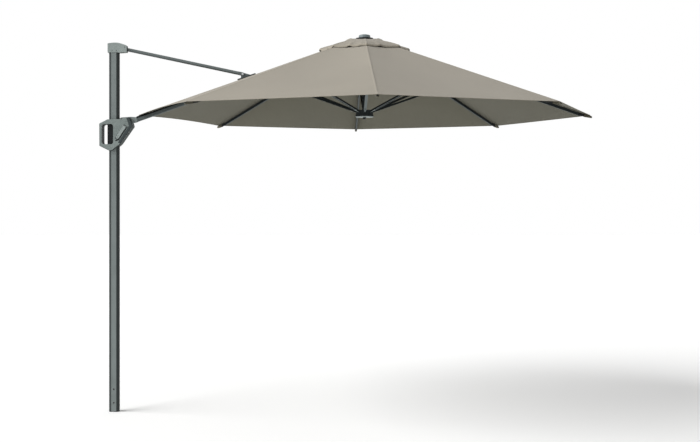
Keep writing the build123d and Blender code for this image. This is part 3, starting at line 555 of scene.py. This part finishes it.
def canopy_half(suffix, azimuth, body, side):
    """Half gore of the main canopy from the hub to the rim, with its seam and its turned-down hem."""
    rows = []
    steps = 32
    hem_start = RIM_R - HEM_WIDTH - 0.0015
    beside_boom = abs(azimuth + side * 22.5 - BOOM_AZIMUTH) < 30.0
    depth, rim_depth = (BOOM_GORE_SAG, BOOM_RIM_SAG) if beside_boom else (GORE_SAG, RIM_SAG)
    radii = [CANOPY_START_R + (hem_start - CANOPY_START_R) * i / steps for i in range(steps + 1)]
    radii += [RIM_R - HEM_WIDTH, RIM_R - 0.012, RIM_R]
    for s in radii:
        x = (s - CANOPY_START_R) / (RIM_R - CANOPY_START_R)
        sag = depth * math.sin(math.pi * x) + rim_depth * x * x
        hem = SEAM_HEIGHT if s > hem_start else 0.0
        row = []
        width = s * math.sin(HALF_GORE) * math.cos(HALF_GORE)
        for across in across_steps(s, 16):
            dip = sag * math.sin(math.pi / 2 * across)
            lift = max(hem, seam_lift(across * width))
            row.append(gore_point(azimuth, side, s, across, ridge_z(s) - dip + lift))
        rows.append(row)
    rim = rows[-1]
    for fraction, inward in ((0.5, 0.0006), (1.0, 0.0012)):
        row = []
        for point in rim:
            direction = (Vector((HUB_X, 0, point.z)) - point).normalized()
            row.append(point + direction * inward - Vector((0, 0, HEM_DROP * fraction)))
        rows.append(row)
    return sheet_object(half_name("canopy_cloth", suffix, side), rows, CANOPY_MATERIALS, body)


VENT_PROFILE = [
    (0.0610, 2.4600), (0.070, 2.4600), (0.080, 2.4585), (0.094, 2.4570), (0.112, 2.4540), (0.135, 2.4490),
    (0.160, 2.4430), (0.190, 2.4350), (0.225, 2.4250), (0.258, 2.4135), (0.284, 2.4030), (0.2960, 2.3985),
    (0.3005, 2.3945), (0.3015, 2.3895), (0.3005, 2.3855),
]
VENT_HUMP = 0.0165


def vent_hump(bearing, s):
    """The cap stands up in a ring round the finial, except at the front, where it has settled."""
    share = min(1.0, math.sin(math.radians(bearing)) + 1.0)
    return VENT_HUMP * share * math.exp(-(((s - 0.096) / 0.030) ** 2)) * min(1.0, (s - VENT_START_R) / 0.012)


VENT_GAPS = [(183.0, 0.010), (208.0, 0.006), (224.0, 0.005), (247.0, 0.009), (262.0, 0.004), (289.0, 0.008),
             (318.0, 0.007), (340.0, 0.005), (357.0, 0.009), (28.0, 0.007), (66.0, 0.006), (112.0, 0.007),
             (150.0, 0.006)]


def hem_gap(bearing):
    """Small puckers where the cap's hem lifts off the canopy."""
    lift = 0.0
    for centre, height in VENT_GAPS:
        off = (bearing - centre + 180.0) % 360.0 - 180.0
        lift += height * math.exp(-((off / 3.4) ** 2))
    return lift


def vent_half(suffix, azimuth, body, side):
    """Half gore of the vent cap over the top of the canopy."""
    rows = []
    for s, z in VENT_PROFILE:
        row = []
        width = s * math.sin(HALF_GORE) * math.cos(HALF_GORE)
        share = min(1.0, max(0.0, (s - 0.21) / 0.085))
        for across in across_steps(s, 18):
            bearing = azimuth + side * 22.5 * across
            wave = math.sin(math.pi / 2 * across)
            rise = vent_hump(bearing, s) + share * (hem_gap(bearing) - 0.0050 * wave)
            row.append(gore_point(azimuth, side, s, across, z + rise + seam_lift(across * width)))
        rows.append(row)
    return sheet_object(half_name("vent_cloth", suffix, side), rows, CANOPY_MATERIALS, body)


def make_canopy():
    for suffix, azimuth, body in arms():
        for side in (1, -1):
            main = canopy_half(suffix, azimuth, body, side)
            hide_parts("canopy_boom" if suffix == "boom" else f"canopy_{suffix}")
            fold_with_arm(main, azimuth, side)
            vent = vent_half(suffix, azimuth, body, side)
            fold_with_arm(vent, azimuth, side)


POCKET_SECTIONS = [
    (1.4550, 0.0078, 0.0262), (1.4700, 0.0080, 0.0236), (1.4880, 0.0080, 0.0202), (1.5040, 0.0076, 0.0170),
    (1.5084, 0.0068, 0.0152), (1.5092, 0.0030, 0.0110), (1.5094, 0.0004, 0.0100),
]


def rib_pocket(number, azimuth):
    """Cloth pocket that holds the end of a rib under the corner of the canopy."""
    origin, radial, tangent = arm_frame(azimuth)
    rows = []
    for radius, half, low in POCKET_SECTIONS:
        high = min(0.0040, low - 0.0005) if radius < 1.506 else low * 0.75
        row = []
        for lateral, drop in ((-half, high), (-half, low - 0.003), (-half + 0.0025, low),
                              (half - 0.0025, low), (half, low - 0.003), (half, high)):
            row.append(origin + radial * radius + tangent * lateral + Vector((0, 0, ridge_z(radius) - drop)))
        rows.append(row)
    pocket = sheet_object(f"rib_pocket_{number}", rows, [MATERIALS["pocket"]], f"arm_{number}")


def extruded(name, outline, front, back, material, body, bevel=0.0008):
    """Plate with an X-Z outline between two Y positions, with softened edges."""
    made = bmesh.new()
    faces = [made.faces.new([made.verts.new((x, y, z)) for x, z in outline]) for y in (front, back)]
    count = len(outline)
    for i in range(count):
        j = (i + 1) % count
        made.faces.new((faces[0].verts[i], faces[0].verts[j], faces[1].verts[j], faces[1].verts[i]))
    bmesh.ops.recalc_face_normals(made, faces=made.faces[:])
    bmesh.ops.bevel(made, geom=made.edges[:], offset=bevel, segments=2, affect="EDGES")
    mesh = bpy.data.meshes.new(name)
    made.to_mesh(mesh)
    made.free()
    mesh.materials.append(MATERIALS[material])
    plate = bpy.data.objects.new(name, mesh)
    bpy.context.scene.collection.objects.link(plate)
    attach(plate, body)
    return plate


def make_slider_trim():
    """Dark liner inside the hand opening, standing in for the shade there; a painted shadow strip beside the
    lever; and a painted shade strip on the right edges.
    """
    # A dark liner in the hand opening, which also stands in for the shade inside it.
    shade_liner = extruded("slider_shade_liner", [(-0.0415, 1.765), (0.004, 1.765), (0.004, 1.906), (-0.0415, 1.906)],
                     -0.0277, -0.0259, "pad", "slider", 0.0004)
    # A dark strip beside the lever, a painted shadow of the lever.
    lever_shadow = extruded("lever_shadow_strip", [(0.0905, 1.8860), (0.0960, 1.8830), (0.0385, 1.7950), (0.0180, 1.7890),
                                   (0.0120, 1.7960), (0.0340, 1.8010)], -0.0530, -0.0512, "pad", "slider")
    # A dark strip on the lower right edges, painted shade of a bevelled face.
    bevel_shade_outline = [(0.0330, 1.7800), (0.0465, 1.7725), (0.1255, 1.8870), (0.1226, 1.9020),
                      (0.1066, 1.9445), (0.0880, 1.9435), (0.1010, 1.9030), (0.1045, 1.8905)]
    bevel_shade = extruded("slider_bevel_shade", bevel_shade_outline, -0.0532, -0.0505, "edge", "slider")


make_studio()
make_camera()
dress_nodes()
make_canopy()
make_slider_trim()
for number, azimuth in enumerate(RIB_AZIMUTHS, start=1):
    rib_pocket(number, azimuth)
